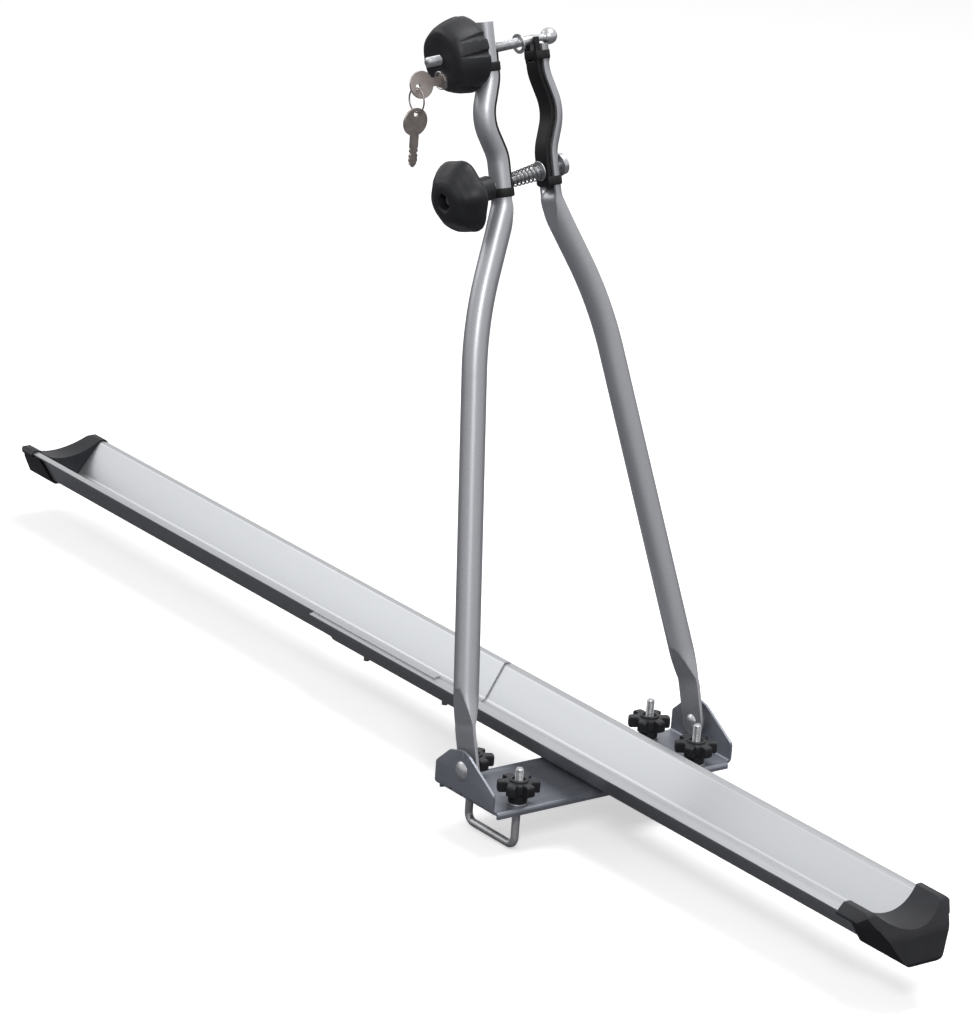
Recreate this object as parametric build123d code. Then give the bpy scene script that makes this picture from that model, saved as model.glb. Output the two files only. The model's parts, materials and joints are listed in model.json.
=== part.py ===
from build123d import *
from math import atan2, cos, degrees, pi, radians, sin, sqrt, tan
import os

# Roof rack bike carrier. All sizes are in millimetres.
# X runs along the wheel rail, Y across it along the roof bar, Z is up.
# The origin is the centre of the base plate's underside, where it rests on the roof bar.

# How far a cutting body reaches past what it cuts
past = 5.0
arm_reach = 60.0

# Base plate and its ears
plate_t = 2.5
plate_x_rear = -43.0
plate_x_front = 49.0
plate_bend_r = 3.0
flange_depth = 6.5
ear_y = 143.7
ear_x_rear = -44.0
ear_x_front = 46.5
ear_rear_z = 24.0
ear_front_z = 20.0
ear_corner_r = 4.0
ear_top_r = 20.0
ear_shoulder_rise = 15.0
ear_slant_deg = 60.0
ear_apex_r = 6.0
notch_w = 3.5
notch_h = 5.0
notch_x = (-19.0, -3.0, 13.0)

# Arm pivot
pivot_x = -4.0
pivot_z = 27.0
lean_deg = 16.6
rivet_r = 4.0
rivet_head_r = 9.5
rivet_inner_head_r = 7.4
rivet_head_h = 3.4
pivot_gap = 0.5
spacer_r = 8.0
rivet_fit = 0.1

# Wheel rails: the rear one nests on the front one
rail_wall = 1.6
rail_belly_half = 18.7
rail_wall_deg = 58.0
rail_crest_z = 39.6
rail_lip_deg = 13.0
rail_lip_y_front = 51.0
rail_lip_y_rear = 46.5
rail_belly_bend_r = 8.0
rail_crest_bend_r = 3.0
nest_gap = 0.2
front_rail_x0 = -386.0
front_rail_x1 = 460.0
rear_rail_x0 = -924.0
rear_rail_x1 = -182.0

# End caps
cap_wall = 2.5
cap_fit = 0.2
cap_front_cover = 29.0
cap_front_nose = 33.0
cap_front_top_z = 45.0
cap_front_ramp = 29.0
cap_rear_cover = 17.0
cap_rear_nose = 27.0
cap_rear_top_z = 41.5
cap_rear_ramp = 22.0
cap_knee_share = (0.33, 0.55)
cap_knee_r = 20.0
cap_taper_run = 20.0
cap_rim_back = 8.0
cap_saddle_r = 53.0
cap_saddle_drop = 16.5
cap_wing_r = 9.0
cap_nose_h = 3.0
cap_shoulder_in = 5.0
cap_corner_r = 9.0
cap_edge_r = 2.0
cap_tuck_r = 1.0

# Rail fasteners
joint_bolt_x = (-354.0, -222.0)
joint_bolt_r = 3.0
joint_head_r = 7.0
joint_head_h = 2.6
joint_tip_z = -10.0
joint_washer_r = 6.0
joint_washer_t = 1.2
joint_nut_flats = 10.0
joint_nut_h = 5.0
rail_rivet_x = (-25.0, 25.0)
rail_rivet_r = 2.4
rail_rivet_head_r = 5.0
rail_rivet_head_h = 1.8
shank_fit = 0.1

# U-bolts and star knobs
leg_x = 36.0
leg_y = 106.4
leg_r = 3.9
ubolt_bottom_z = -45.0
ubolt_corner_r = 9.0
stud_top_near_z = 38.0
stud_top_far_z = 43.0
slot_w = 9.0
slide = 4.0
leg_washer_r = 10.0
leg_washer_t = 1.6
star_r = 20.5
star_lobes = 6
star_dip_r = 5.4
star_dip_reach = 21.3
star_edge_r = 1.8
star_rise = 1.5
star_z = 15.0
star_h = 10.5
star_boss_r = 9.25
star_recess_r = 6.6
star_recess_d = 3.0
insert_r = 6.0
turn_gap = 0.3

# Arms: n is square to the arm's plane, y across, l along the arm from the pivot
blade_y = 134.5
blade_t = 3.2
blade_half = 14.5
blade_end_l = 42.0
tube_start_l = 80.0
tube_r = 12.0
tube_wall = 1.5
tube_start_y = 127.6
jaw_l = 518.0
pinch_run = 26.0
pinch_l = jaw_l - pinch_run
pinch_y = 39.6
bend_run = 78.3
bend_l = pinch_l - bend_run
bend_y = 73.9
bend_share = 0.52
jaw_half = 12.5
jaw_depth = 12.5
jaw_wall = 3.2
jaw_flat = 0.2
seat_y_low = 26.0
seat_y_mid = 39.4
seat_y_top = 27.0
seat_low_run = 47.0
seat_rise_run = 35.0
seat_fall_run = 37.0
seat_l_low = jaw_l + seat_low_run
seat_l_mid = seat_l_low + seat_rise_run
seat_l_top = seat_l_mid + seat_fall_run
seat_bend_r = 42.0
near_top_l = seat_l_top + 53.0
far_top_l = seat_l_top + 27.0
fork_w = 11.0
fork_below_bolt = 18.5

# Jaw pads
pad_t = 5.5
pad_half = 9.6
pad_gap = 0.15
pad_near_l = (jaw_l + 8.0, seat_l_top + 27.0)
pad_far_l = (jaw_l + 11.0, seat_l_top + 34.0)
band_t = 1.6
band_h = 8.5
band_near_l = (jaw_l + 8.0, seat_l_top + 7.0)
band_far_l = (jaw_l + 13.0, seat_l_top + 12.5)

# Upper clamp bolt, locking knob, lock and keys
upper_l = seat_l_top + 29.5
upper_deg = 4.5
clamp_bolt_r = 4.8
bolt_fit = 0.1
far_hole_play = 0.8
far_hole_rise = 1.6
pad_hole_play = 0.6
upper_tip = -99.0
neck_s = 28.0
neck_r = 3.0
ball_s = 45.4
ball_r = 8.0
upper_washer_s = 9.0
upper_washer_r = 9.65
upper_washer_t = 1.3
upper_washer_play = 1.2
knob_face_s = -84.0
knob_face_r = 30.0
knob_edge_r = 2.0
knob_flank = ((-74.0, 33.6), (-64.0, 35.8))
knob_widest_s = -56.0
knob_r = 36.5
knob_turn = (-51.0, 35.4)
knob_rim_s = -48.0
knob_rim_r = 32.0
knob_hub_r = 14.0
knob_seat_r = 7.5
arm_face_gap = 0.5
groove_pairs = 4
groove_turns = (-27.0, 0.0)
groove_r = 3.4
groove_axis_r = 38.0
groove_tip_s = -79.0
groove_back_s = -54.0
lock_n = -3.0
lock_drop = 19.0
lock_r = 9.0
lock_core_r = 6.5
lock_proud = 2.0
lock_back_s = -52.0
lock_floor = 3.0
core_sunk = 0.4
key_t = 2.2
key_head_r = 13.0
key_head_s = -107.0
key_head_drop = 18.0
key_hole_r = 2.6
key_hole_s = -111.7
key_hole_drop = 20.3
key_blade_w = 8.0
key_blade_end_s = -60.0
key_fit = 0.15
key_bit_depths = (1.6, 0.9, 2.0, 1.2)
key_bit_pitch = 4.5
key_shoulder = 0.9
key_point_share = 0.3
ring_r = 11.6
ring_wire_r = 0.8
hang_gap = 0.4
spare_head_r = 13.4
spare_length = 57.0
spare_blade_w = 9.0
spare_hole_in = 5.6

# Lower clamp bolt, its knob and spring
lower_l = jaw_l + 24.5
lower_deg = 8.4
lower_tip = -91.5
lower_face_s = -98.5
lower_face_r = 13.0
lower_flank = ((-96.5, 18.0), (-89.5, 28.0), (-82.5, 34.0))
lower_widest_s = -75.5
lower_knob_r = 36.8
lower_turn = (-71.5, 35.6)
lower_back_s = -69.5
lower_back_r = 31.0
lower_dip_r = 18.0
lower_dip_reach = 52.2
hex_flats = 15.0
hex_depth = 9.0
collar_r = 11.7
far_washer_r = 11.0
far_washer_t = 1.2
far_nut_r = 10.5
far_nut_h = 4.2
far_nut_floor = 1.8
far_nut_cross_r = 6.5
far_nut_cross_w = 2.4
far_nut_cross_d = 1.0
spring_turns = 7.5
spring_wire_r = 0.7
spring_r_near = 6.3
spring_r_far = 8.0
spring_s0 = -19.1
spring_washer_s = 17.5
spring_washer_r = 9.5
spring_washer_t = 1.2
spring_s1 = spring_washer_s - hang_gap

os.makedirs("parts", exist_ok=True)


def save(shape, name):
    """Write one node, whose solids may lie apart."""
    solids = shape.solids()
    whole = solids[0] if len(solids) == 1 else Compound(children=list(solids))
    export_step(whole, f"parts/{name}.step")


def tube_between(plane, r, s0, s1):
    """A round bar along a plane's normal, between s0 and s1."""
    low, high = min(s0, s1), max(s0, s1)
    return plane.offset(low) * Cylinder(r, high - low, align=(Align.CENTER, Align.CENTER, Align.MIN))


def hexagon_bar(plane, flats, s0, s1):
    """A hexagonal bar along a plane's normal, from s0 to s1."""
    return plane.offset(s0) * extrude(RegularPolygon(flats / 2, 6, major_radius=False), s1 - s0)


def washer(plane, r, hole_r, s0, t):
    """A flat ring along a plane's normal."""
    return tube_between(plane, r, s0, s0 + t) - tube_between(plane, hole_r, s0 - past, s0 + t + past)


def dome(plane, r, h):
    """A rivet's or bolt's domed head that stands on a plane."""
    sphere_r = (r * r + h * h) / (2 * h)
    ball = plane.offset(h - sphere_r) * Sphere(sphere_r)
    return ball & tube_between(plane, r, 0, h + past)


def slot_bar(width, y0, y1, x, z0, z1):
    """A bar with round ends that cuts a slot along Y."""
    half = width / 2
    bar = Pos(x, (y0 + y1) / 2, z0) * extrude(Rectangle(width, y1 - y0 - width), z1 - z0)
    for y in (y0 + half, y1 - half):
        bar += tube_between(Plane.XY.move(Pos(x, y, 0)), half, z0, z1)
    return bar


# Base plate
def ear_outline():
    """The ear's shape in XZ, as a face that reaches below the plate."""
    low = -flange_depth - past
    tip_x = pivot_x + ear_top_r * cos(radians(ear_slant_deg))
    tip_z = pivot_z + ear_top_r * sin(radians(ear_slant_deg))
    top = pivot_z + ear_top_r
    points = [
        (ear_x_rear, low),
        (ear_x_rear, ear_rear_z),
        (pivot_x - ear_top_r, pivot_z + ear_shoulder_rise),
        (pivot_x, top),
        (tip_x, tip_z),
        (ear_x_front, ear_front_z),
        (ear_x_front, low),
    ]
    radii = [0, ear_corner_r, ear_corner_r, ear_apex_r, ear_apex_r, ear_corner_r, 0]
    with BuildSketch(Plane.XZ) as sketch:
        with BuildLine():
            FilletPolyline(*points, radius=radii, close=True)
        make_face()
    return sketch.sketch


def base_plate():
    half = plate_t / 2
    top_z = pivot_z + ear_top_r + past
    u_line = FilletPolyline(
        (-ear_y + half, top_z), (-ear_y + half, half), (ear_y - half, half), (ear_y - half, top_z),
        radius=[plate_bend_r + half, plate_bend_r + half],
    )
    across = Plane.YZ * trace(u_line, plate_t)
    channel = Pos(ear_x_rear, 0, 0) * extrude(across, ear_x_front - ear_x_rear, dir=(1, 0, 0))
    ears = extrude(ear_outline(), ear_y + past, both=True)
    plate = channel & ears
    flange_line = FilletPolyline(
        (plate_x_rear + half, plate_t - flange_depth), (plate_x_rear + half, half),
        (plate_x_front - half, half), (plate_x_front - half, plate_t - flange_depth),
        radius=[plate_bend_r, plate_bend_r],
    )
    flanges = extrude(Plane.XZ * trace(flange_line, plate_t), ear_y - plate_t - plate_bend_r, both=True)
    plate += flanges
    slot_half = slide + slot_w / 2
    for side in (-1, 1):
        for x in (-leg_x, leg_x):
            middle = side * leg_y
            plate -= slot_bar(slot_w, middle - slot_half, middle + slot_half, x, -past, past)
        ear_plane = Plane(origin=(pivot_x, side * (ear_y - plate_t / 2), pivot_z), z_dir=(0, side, 0))
        plate -= tube_between(ear_plane, rivet_r, -plate_t, plate_t)
        for x in notch_x:
            plate -= Pos(x, side * ear_y, 0) * Box(notch_w, 4 * plate_t, 2 * notch_h)
    for x in rail_rivet_x:
        plate -= tube_between(Plane.XY.move(Pos(x, 0, 0)), rail_rivet_r, -past, past)
    return plate


# Wheel rails
def rail_centre_line(lift, lip_y):
    """The trough's middle line in YZ, lifted square to itself by a nesting step."""
    slope = tan(radians(rail_wall_deg))
    fall = tan(radians(rail_lip_deg))
    inward = lift + rail_wall / 2
    belly_z = plate_t + inward
    wall_y = rail_belly_half - inward / sin(radians(rail_wall_deg))
    lip_z = rail_crest_z - rail_wall / 2 + lift / cos(radians(rail_lip_deg))
    corner_y = wall_y + (belly_z - plate_t) / slope
    crest_y_front = rail_belly_half + (rail_crest_z - plate_t) / slope
    crest_y = (lip_z + fall * crest_y_front - plate_t + slope * wall_y) / (slope + fall)
    crest_z = plate_t + slope * (crest_y - wall_y)
    lip_end = (lip_y - rail_wall / 2 * sin(radians(rail_lip_deg)), crest_z - fall * (lip_y - crest_y))
    half = [(corner_y, belly_z), (crest_y, crest_z), lip_end]
    points = [(-y, z) for y, z in reversed(half)] + half
    belly_r = rail_belly_bend_r - lift
    return points, [rail_crest_bend_r, belly_r, belly_r, rail_crest_bend_r]


def rail_face(lift, lip_y, thickness):
    points, radii = rail_centre_line(lift, lip_y)
    return trace(FilletPolyline(*points, radius=radii), thickness)


def along_x(face, x0, x1):
    """A section drawn with its own X across and its own Y up, run along X."""
    return Pos(x0, 0, 0) * extrude(Plane.YZ * face, x1 - x0, dir=(1, 0, 0))


nest_lift = rail_wall + nest_gap


def front_rail():
    rail = along_x(rail_face(0, rail_lip_y_front, rail_wall), front_rail_x0, front_rail_x1)
    for x in joint_bolt_x:
        rail -= tube_between(Plane.XY.move(Pos(x, 0, 0)), joint_bolt_r + shank_fit, 0, rail_crest_z)
    for x in rail_rivet_x:
        rail -= tube_between(Plane.XY.move(Pos(x, 0, 0)), rail_rivet_r + shank_fit, 0, rail_crest_z)
    return rail


def rear_rail():
    rail = along_x(rail_face(nest_lift, rail_lip_y_rear, rail_wall), rear_rail_x0, rear_rail_x1)
    for x in joint_bolt_x:
        rail -= tube_between(Plane.XY.move(Pos(x, 0, 0)), joint_bolt_r + shank_fit, 0, rail_crest_z)
    return rail


# End caps
def end_cap(lift, lip_y, rail_end, way, cover, nose, top_z, ramp_run):
    """A scoop that closes a rail's end and rises over its lips. way is 1 at the front, -1 behind."""
    (corner_y, belly_z), (crest_y, crest_z), (edge_y, edge_z) = rail_centre_line(lift, lip_y)[0][3:]
    skin = rail_wall / 2 + cap_fit + cap_wall
    slope = tan(radians(rail_wall_deg))
    low_z = belly_z - skin
    low_y = corner_y + skin / sin(radians(rail_wall_deg)) - skin / slope
    under_z = edge_z - skin
    side_y = edge_y + cap_fit + cap_wall
    flank_y = low_y + (under_z - low_z) / slope
    top_y = crest_y + cap_shoulder_in
    points = [
        (-low_y, low_z), (low_y, low_z), (flank_y, under_z), (side_y, under_z + cap_tuck_r), (side_y, edge_z),
        (top_y, top_z), (-top_y, top_z), (-side_y, edge_z), (-side_y, under_z + cap_tuck_r),
        (-flank_y, under_z),
    ]
    half_radii = [cap_corner_r, cap_edge_r, cap_tuck_r, cap_edge_r, cap_edge_r]
    radii = half_radii[:1] + half_radii + half_radii[:0:-1]
    with BuildSketch() as hull:
        with BuildLine():
            FilletPolyline(*points, radius=radii, close=True)
        make_face()
    body = along_x(hull.sketch, -cover, nose + past)
    ramp = [
        (nose + 2 * past, low_z - past), (nose, low_z - past), (nose, low_z + cap_nose_h),
        (nose - ramp_run * cap_knee_share[0], low_z + (top_z - low_z) * cap_knee_share[1]),
        (nose - ramp_run, top_z), (nose - ramp_run - 2 * past, top_z),
        (nose - ramp_run - 2 * past, top_z + past), (nose + 2 * past, top_z + past),
    ]
    with BuildSketch(Plane.XZ) as ramp_cut:
        with BuildLine():
            FilletPolyline(*ramp, radius=[0, 0, cap_nose_h, cap_knee_r, cap_wing_r, 0, 0, 0], close=True)
        make_face()
    body -= extrude(ramp_cut.sketch, side_y + past, both=True)
    taper = [
        (nose - ramp_run - past, side_y), (nose - ramp_run + cap_taper_run, flank_y - past),
        (nose + 2 * past, flank_y - past), (nose + 2 * past, side_y + past), (nose - ramp_run - past, side_y + past),
    ]
    with BuildSketch() as taper_cut:
        with BuildLine():
            Polyline(*taper, close=True)
        make_face()
    corner = Pos(0, 0, low_z - past) * extrude(taper_cut.sketch, top_z + 4 * past)
    body -= corner
    body -= mirror(corner, about=Plane.XZ)
    saddle_z = top_z - cap_saddle_drop + cap_saddle_r
    saddle = Plane.YZ * (Pos(0, saddle_z) * Circle(cap_saddle_r))
    body -= Pos(-cover - past, 0, 0) * extrude(saddle, nose + cover + 2 * past, dir=(1, 0, 0))
    slot = rail_face(lift, lip_y + cap_fit, rail_wall + 2 * cap_fit)
    body -= along_x(slot, -cover - past, cap_fit)
    inner_y = corner_y - rail_wall / 2 / sin(radians(rail_wall_deg))
    inner = [(-inner_y, belly_z), (inner_y, belly_z), (crest_y, crest_z), (crest_y, top_z + past),
             (-crest_y, top_z + past), (-crest_y, crest_z)]
    with BuildSketch() as trough:
        with BuildLine():
            FilletPolyline(*inner, radius=[rail_belly_bend_r - lift] * 2 + [0] * 4, close=True)
        make_face()
    rim_x = cap_rim_back - cover
    rim_r = (crest_y**2 + cap_rim_back**2) / (2 * cap_rim_back)
    mouth = along_x(trough.sketch, -cover - past, past + rim_x)
    body -= mouth & Pos(rim_x - rim_r, 0, 0) * Cylinder(rim_r, 4 * top_z)
    if way < 0:
        body = mirror(body, about=Plane.YZ)
    return Pos(rail_end, 0, 0) * body


# Rail fasteners
def joint_bolt(x):
    channel_z = plate_t + 2 * rail_wall + nest_gap
    plane = Plane.XY.move(Pos(x, 0, 0))
    bolt = dome(plane.offset(channel_z), joint_head_r, joint_head_h)
    return bolt + tube_between(plane, joint_bolt_r, joint_tip_z, channel_z + joint_head_h / 2)


def joint_washer(x):
    plane = Plane.XY.move(Pos(x, 0, 0))
    return washer(plane, joint_washer_r, joint_bolt_r + shank_fit, plate_t - joint_washer_t, joint_washer_t)


def joint_nut(x):
    plane = Plane.XY.move(Pos(x, 0, 0))
    top = plate_t - joint_washer_t
    nut = hexagon_bar(plane, joint_nut_flats, top - joint_nut_h, top)
    return nut - tube_between(plane, joint_bolt_r, top - joint_nut_h - past, top + past)


def rail_rivet(x):
    plane = Plane.XY.move(Pos(x, 0, 0))
    head_z = plate_t + rail_wall
    return dome(plane.offset(head_z), rail_rivet_head_r, rail_rivet_head_h) + tube_between(
        plane, rail_rivet_r, 0, head_z + rail_rivet_head_h / 2
    )


# Arm pivots
blade_inner_y = blade_y - blade_t / 2
blade_outer_y = blade_y + blade_t / 2


def pivot_plane(side):
    return Plane(origin=(pivot_x, 0, pivot_z), x_dir=(1, 0, 0), z_dir=(0, side, 0))


def pivot_rivet(side):
    plane = pivot_plane(side)
    inner = blade_inner_y - pivot_gap
    shank = tube_between(plane, rivet_r, inner - rivet_head_h / 2, ear_y + rivet_head_h / 2)
    outer_head = dome(plane.offset(ear_y), rivet_head_r, rivet_head_h)
    inner_plane = Plane(origin=plane.offset(inner).origin, x_dir=(1, 0, 0), z_dir=(0, -side, 0))
    return shank + outer_head + dome(inner_plane, rivet_inner_head_r, rivet_head_h)


def pivot_spacer(side):
    length = ear_y - plate_t - blade_outer_y - pivot_gap
    return washer(pivot_plane(side), spacer_r, rivet_r, blade_outer_y + pivot_gap, length)


# U-bolts and star knobs
def ubolt(side, top_z):
    y = side * leg_y
    path = FilletPolyline(
        (-leg_x, y, top_z), (-leg_x, y, ubolt_bottom_z + leg_r), (leg_x, y, ubolt_bottom_z + leg_r),
        (leg_x, y, top_z), radius=[ubolt_corner_r, ubolt_corner_r],
    )
    section = Plane(origin=(-leg_x, y, top_z), z_dir=(0, 0, -1)) * Circle(leg_r)
    return sweep(section, path)


def leg_washers(side):
    rings = [
        washer(Plane.XY.move(Pos(x, side * leg_y, 0)), leg_washer_r, leg_r, plate_t + turn_gap, leg_washer_t)
        for x in (-leg_x, leg_x)
    ]
    return Compound(children=rings)


star_foot_z = plate_t + turn_gap + leg_washer_t + turn_gap


def star_plane(side, x):
    return Plane.XY.move(Pos(x, side * leg_y, 0))


def star_knob(side, x):
    """A six-lobed hand nut with a round boss below it, without its insert."""
    plane = star_plane(side, x)
    disc = tube_between(plane, star_r, star_z, star_z + star_h)
    top_z = star_z + star_h
    for index in range(star_lobes):
        turn = 2 * pi * (index + 0.5) / star_lobes
        place = Pos(star_dip_reach * cos(turn), star_dip_reach * sin(turn), 0)
        disc -= tube_between(Plane(plane * place), star_dip_r, star_z - past, top_z + past)
    disc = fillet(disc.edges().filter_by(Axis.Z), star_edge_r)
    knob = disc + tube_between(plane, star_boss_r, star_foot_z, top_z + star_rise)
    knob -= tube_between(plane, star_recess_r, top_z - star_recess_d, top_z + past)
    return knob - tube_between(plane, insert_r, star_foot_z - past, top_z)


def star_insert(side, x):
    plane = star_plane(side, x)
    top = star_z + star_h - star_recess_d
    body = tube_between(plane, insert_r, star_foot_z, top)
    return body - tube_between(plane, leg_r + bolt_fit, star_foot_z - past, top + past)


# Arms, drawn in their own frame: X is n, Y is y, Z is l
arm_frame = Location((pivot_x, 0, pivot_z), (0, -lean_deg, 0))


lower_rate = (tube_start_y - bend_y) / (bend_l - tube_start_l)
upper_rate = (bend_y - pinch_y) / bend_run


def tube_path(extra):
    """The round tube's middle line, with both ends drawn out by extra."""
    turn = atan2(upper_rate, 1) - atan2(lower_rate, 1)
    bend_r = bend_share * bend_run * sqrt(1 + upper_rate**2) / tan(turn / 2)
    return FilletPolyline(
        (0, tube_start_y + lower_rate * extra, tube_start_l - extra), (0, bend_y, bend_l),
        (0, pinch_y - upper_rate * extra, pinch_l + extra),
        radius=[bend_r],
    )


def round_bar(path, r):
    start = path @ 0
    return sweep(Plane(origin=start, x_dir=(1, 0, 0), z_dir=path % 0) * Circle(r), path)


def blade_neck():
    """The tube's flattening, from the round tube down to the flat blade."""
    steps = 5
    rings = []
    for index in range(steps):
        share = index / (steps - 1)
        ease = share * share * (3 - 2 * share)
        l = tube_start_l + (blade_end_l - tube_start_l) * share
        y = tube_start_y + (blade_y - tube_start_y) * ease
        half_n = tube_r + (blade_half - tube_r) * ease
        half_y = tube_r + (blade_t / 2 - tube_r) * ease
        tilt = degrees(atan2(lower_rate, 1)) * (1 - ease)
        rings.append(Pos(0, y, l) * Rot(tilt, 0, 0) * Ellipse(half_n, half_y))
    return loft(rings)


def lens(half_n, outer, inner):
    """A closed face of two arcs, outer towards +Y and inner towards -Y."""
    with BuildSketch() as sketch:
        with BuildLine():
            ThreePointArc((half_n, 0), (0, outer), (-half_n, 0))
            ThreePointArc((-half_n, 0), (0, -inner), (half_n, 0))
        make_face()
    return sketch.sketch


def pinch_neck():
    """The tube's pressing, from the round tube up to the flat-faced jaw section."""
    tilt = degrees(atan2(upper_rate, 1))
    steps = 4
    rings = []
    for index in range(steps):
        share = index / (steps - 1)
        ease = share * share * (3 - 2 * share)
        l = pinch_l + pinch_run * share
        y = pinch_y + (seat_y_low - pinch_y) * ease
        half_n = tube_r + (jaw_half - tube_r) * ease
        outer = tube_r + (jaw_depth - tube_r) * ease
        inner = tube_r + (jaw_flat - tube_r) * ease
        rings.append(Pos(0, y, l) * Rot(tilt * (1 - ease), 0, 0) * lens(half_n, outer, inner))
    return loft(rings)


def seat_path(l0, l1):
    """The line that the jaw's flat inner face follows."""
    return FilletPolyline(
        (0, seat_y_low, l0), (0, seat_y_low, seat_l_low), (0, seat_y_mid, seat_l_mid),
        (0, seat_y_top, seat_l_top), (0, seat_y_top, l1), radius=[seat_bend_r] * 3,
    )


def along_seat(face, l0, l1):
    """A section with its own Y outward, swept along the seat."""
    return sweep(Pos(0, seat_y_low, l0) * face, seat_path(l0, l1))


def jaw_face(grow):
    """The pressed jaw's C section, grown all round by grow."""
    outer = lens(jaw_half + grow, jaw_depth + grow, jaw_flat + grow)
    groove = lens(jaw_half - jaw_wall - grow, jaw_depth - jaw_wall - grow, jaw_flat)
    groove += Pos(0, -jaw_wall) * Rectangle(2 * (jaw_half - jaw_wall - grow), 2 * jaw_wall)
    return outer - groove


def clamp_plane(l, deg):
    """A plane square to a clamp bolt, with its normal along the bolt towards the far arm."""
    return Plane(
        origin=(0, 0, l), x_dir=(1, 0, 0), z_dir=(0, cos(radians(deg)), sin(radians(deg)))
    )


upper_plane = clamp_plane(upper_l, upper_deg)
lower_plane = clamp_plane(lower_l, lower_deg)
lock_plane = Plane(
    origin=upper_plane.from_local_coords((lock_n, lock_drop, 0)),
    x_dir=upper_plane.x_dir, z_dir=upper_plane.z_dir,
)
key_plane = Plane(
    origin=lock_plane.origin, x_dir=lock_plane.z_dir, z_dir=lock_plane.x_dir
)


def plain_arm(top_l):
    """The arm on the far side, without its bolt holes."""
    blade = Pos(0, blade_y, 0) * extrude(
        Plane.XZ * (Circle(blade_half) + Pos(0, blade_end_l / 2) * Rectangle(2 * blade_half, blade_end_l)),
        blade_t / 2, both=True,
    )
    arm = blade + blade_neck() + round_bar(tube_path(0), tube_r) + pinch_neck()
    arm += along_seat(jaw_face(0), jaw_l, top_l)
    arm -= round_bar(tube_path(-tube_wall), tube_r - tube_wall)
    return arm - tube_between(Plane(origin=(0, blade_y, 0), z_dir=(0, 1, 0)), rivet_r + rivet_fit, -past, past)


def near_arm():
    arm = mirror(plain_arm(near_top_l), about=Plane.XZ)
    arm -= tube_between(upper_plane, clamp_bolt_r + bolt_fit, -arm_reach, 0)
    return arm - tube_between(lower_plane, clamp_bolt_r + bolt_fit, -arm_reach, 0)


def tilt_slot(plane, s0, s1):
    """The far arm's lower hole, drawn out upward for the arm's tilt."""
    hole_r = clamp_bolt_r + far_hole_play
    hole = tube_between(plane, hole_r, s0, s1)
    s_mid = (s0 + s1) / 2
    middle = Pos(0, s_mid, lower_l + far_hole_rise / 2 + tan(radians(lower_deg)) * s_mid)
    return hole + Pos(0, 0, far_hole_rise) * hole + middle * Box(2 * hole_r, s1 - s0, far_hole_rise)


def fork_cut(top_l):
    """The open slot at the far arm's top, round below."""
    floor = upper_l - fork_below_bolt + fork_w / 2
    reach = top_l + past - floor
    bar = Pos(0, 0, floor) * Box(fork_w, arm_reach, reach, align=(Align.CENTER, Align.MIN, Align.MIN))
    return bar + tube_between(Plane(origin=(0, 0, floor), z_dir=(0, 1, 0)), fork_w / 2, 0, arm_reach)


def far_arm():
    arm = plain_arm(far_top_l) - fork_cut(far_top_l)
    return arm - tilt_slot(lower_plane, 0, arm_reach)


# Jaw pads
def band(l, seat_y):
    """A loop of the pad round the pressed jaw."""
    wide = jaw_half + band_t
    with BuildSketch() as sketch:
        with BuildLine():
            Polyline((wide, 0), (wide, -band_t), (pad_half, -pad_t), (-pad_half, -pad_t), (-wide, -band_t),
                     (-wide, 0))
            ThreePointArc((-wide, 0), (0, jaw_depth + band_t), (wide, 0))
        make_face()
    face = sketch.sketch - jaw_face(pad_gap)
    return Pos(0, seat_y, l) * extrude(face, band_h)


def plain_pad(l_span, band_l):
    """The far side's pad, with a rib in the jaw's groove and a loop near each end."""
    rib = lens(jaw_half - jaw_wall - pad_gap, jaw_depth - jaw_wall - pad_gap, pad_t)
    facing = Pos(0, -(pad_t + pad_gap) / 2) * Rectangle(2 * pad_half, pad_t - pad_gap)
    pad = along_seat(facing + (rib & Pos(0, jaw_depth / 2 - pad_t) * Rectangle(arm_reach, jaw_depth)), *l_span)
    return pad + band(band_l[0], seat_y_low) + band(band_l[1], seat_y_top)


def near_pad():
    pad = mirror(plain_pad(pad_near_l, band_near_l), about=Plane.XZ)
    pad -= tube_between(upper_plane, clamp_bolt_r + pad_hole_play, -arm_reach, 0)
    return pad - tube_between(lower_plane, clamp_bolt_r + pad_hole_play, -arm_reach, 0)


def far_pad():
    pad = plain_pad(pad_far_l, band_far_l) - fork_cut(pad_far_l[1])
    return pad - tilt_slot(lower_plane, 0, arm_reach)


# Upper clamp bolt and locking knob
def upper_washer():
    """A loose washer that hangs on the bolt by the top of its wide hole."""
    plane = Plane(upper_plane * Pos(0, upper_washer_play, 0))
    hole_r = clamp_bolt_r + upper_washer_play
    return washer(plane, upper_washer_r, hole_r, upper_washer_s - upper_washer_t / 2, upper_washer_t)


def upper_bolt():
    plane = upper_plane
    bolt = tube_between(plane, clamp_bolt_r, upper_tip, neck_s)
    neck_length = ball_s - neck_s
    bolt += plane.offset(neck_s + neck_length / 2) * Cone(clamp_bolt_r, neck_r, neck_length)
    return bolt + plane.offset(ball_s) * Sphere(ball_r)


def revolved(plane, outline):
    """A body turned about a plane's normal from (s, r) points."""
    face = make_face(Polyline(*[(r, s) for s, r in outline], close=True))
    turned = revolve(Plane.XZ * face, Axis.Z)
    return plane * turned


def square_seat(outer_y, r, deg):
    """Where along a tilted bolt a flat ring of radius r comes next to a face at outer_y."""
    return (outer_y + arm_face_gap + r * sin(radians(deg))) / cos(radians(deg))


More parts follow.
